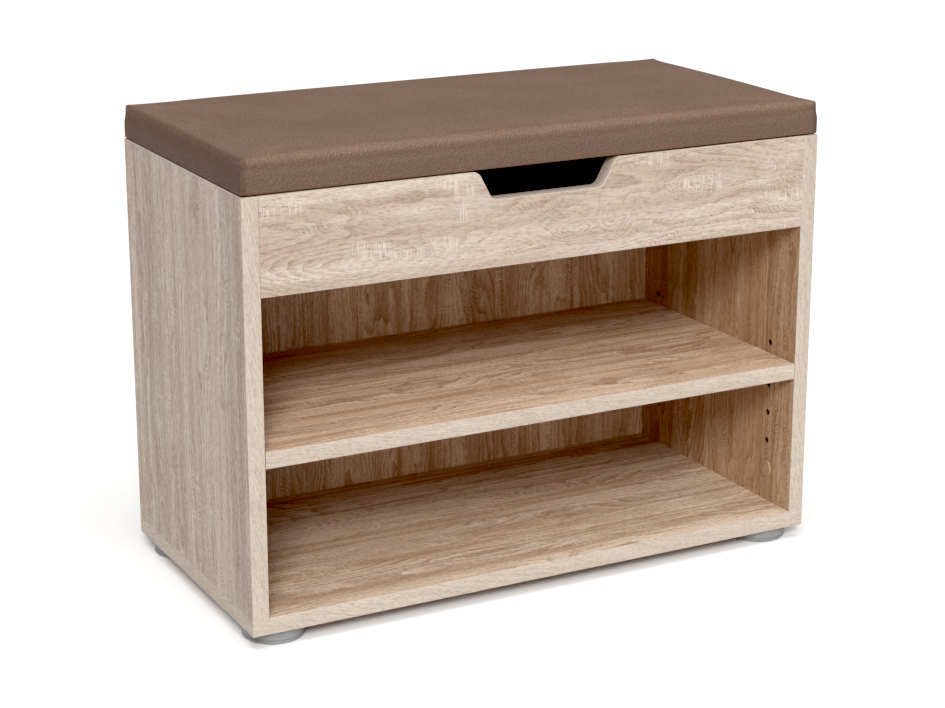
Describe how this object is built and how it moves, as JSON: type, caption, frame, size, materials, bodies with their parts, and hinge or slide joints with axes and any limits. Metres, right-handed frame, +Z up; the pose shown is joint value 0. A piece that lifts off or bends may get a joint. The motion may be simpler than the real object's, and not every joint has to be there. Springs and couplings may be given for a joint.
{
  "type": "shoe storage bench",
  "caption": "Entryway bench of oak-decor boards: padded lift-up lid, storage compartment behind a grip cut-out, adjustable shelf, open shoe bays.",
  "frame": {"origin": "on the floor under the middle of the carcass footprint, between the two sides and between the front edges and the back panel", "axes": "+X to the right as one faces the front, +Y from the front to the back, +Z up"},
  "size_m": [0.6, 0.3013, 0.454],
  "materials": {
    "oak_panel": "matt melamine-coated chipboard with a pale oak decor",
    "oak_front": "matt melamine-coated chipboard with a pale oak decor, grain along the width",
    "oak_edge": "matt edge band in the same oak decor",
    "raw_chipboard": "uncoated chipboard",
    "beech": "fluted beech dowel, untreated",
    "die_cast_zinc": "as cast",
    "zinc_steel": "bright zinc plating",
    "hinge_steel": "stamped steel, nickel plated",
    "cap_plastic": "oak-coloured plastic cap",
    "foot_plastic": "satin grey plastic",
    "bumper_rubber": "soft clear dot",
    "seat_foam": "open-cell foam",
    "leatherette": "pebbled coated fabric, satin",
    "lining_cloth": "thin black non-woven cloth"
  },
  "bodies": {
    "carcass": {"bottom_panel": "oak_panel", "left_side": "oak_panel", "right_side": "oak_panel", "front_apron": "oak_front", "compartment_floor": "oak_panel", "back_panel": "oak_panel", "shelf": "oak_panel", "bottom_bands": "oak_edge", "left_side_bands": "oak_edge", "right_side_bands": "oak_edge", "apron_bands": "oak_edge", "shelf_band": "oak_edge", "cam_bolts": "zinc_steel", "cam_locks": "die_cast_zinc", "cam_covers": "cap_plastic", "wooden_dowels": "beech", "shelf_pins": "zinc_steel", "foot_front_left": "foot_plastic", "foot_front_right": "foot_plastic", "foot_back_left": "foot_plastic", "foot_back_right": "foot_plastic", "foot_screws": "zinc_steel", "left_hinge_frame_leaf": "hinge_steel", "right_hinge_frame_leaf": "hinge_steel", "left_hinge_pin": "zinc_steel", "right_hinge_pin": "zinc_steel", "frame_leaf_screws": "zinc_steel", "lid_bumpers": "bumper_rubber"},
    "lid": {"left_hinge_lid_leaf": "hinge_steel", "right_hinge_lid_leaf": "hinge_steel", "lid_leaf_screws": "zinc_steel", "lid_board": "raw_chipboard", "seat_foam": "seat_foam", "seat_cover": "leatherette", "lid_lining": "lining_cloth", "cover_staples": "zinc_steel"}
  },
  "joints": [
    {"name": "lid_hinge", "type": "hinge", "parent": "carcass", "child": "lid", "pos_m": [0, 0.1508, 0.4165], "axis": [-1, 0, 0], "range_deg": [0, 100]}
  ]
}
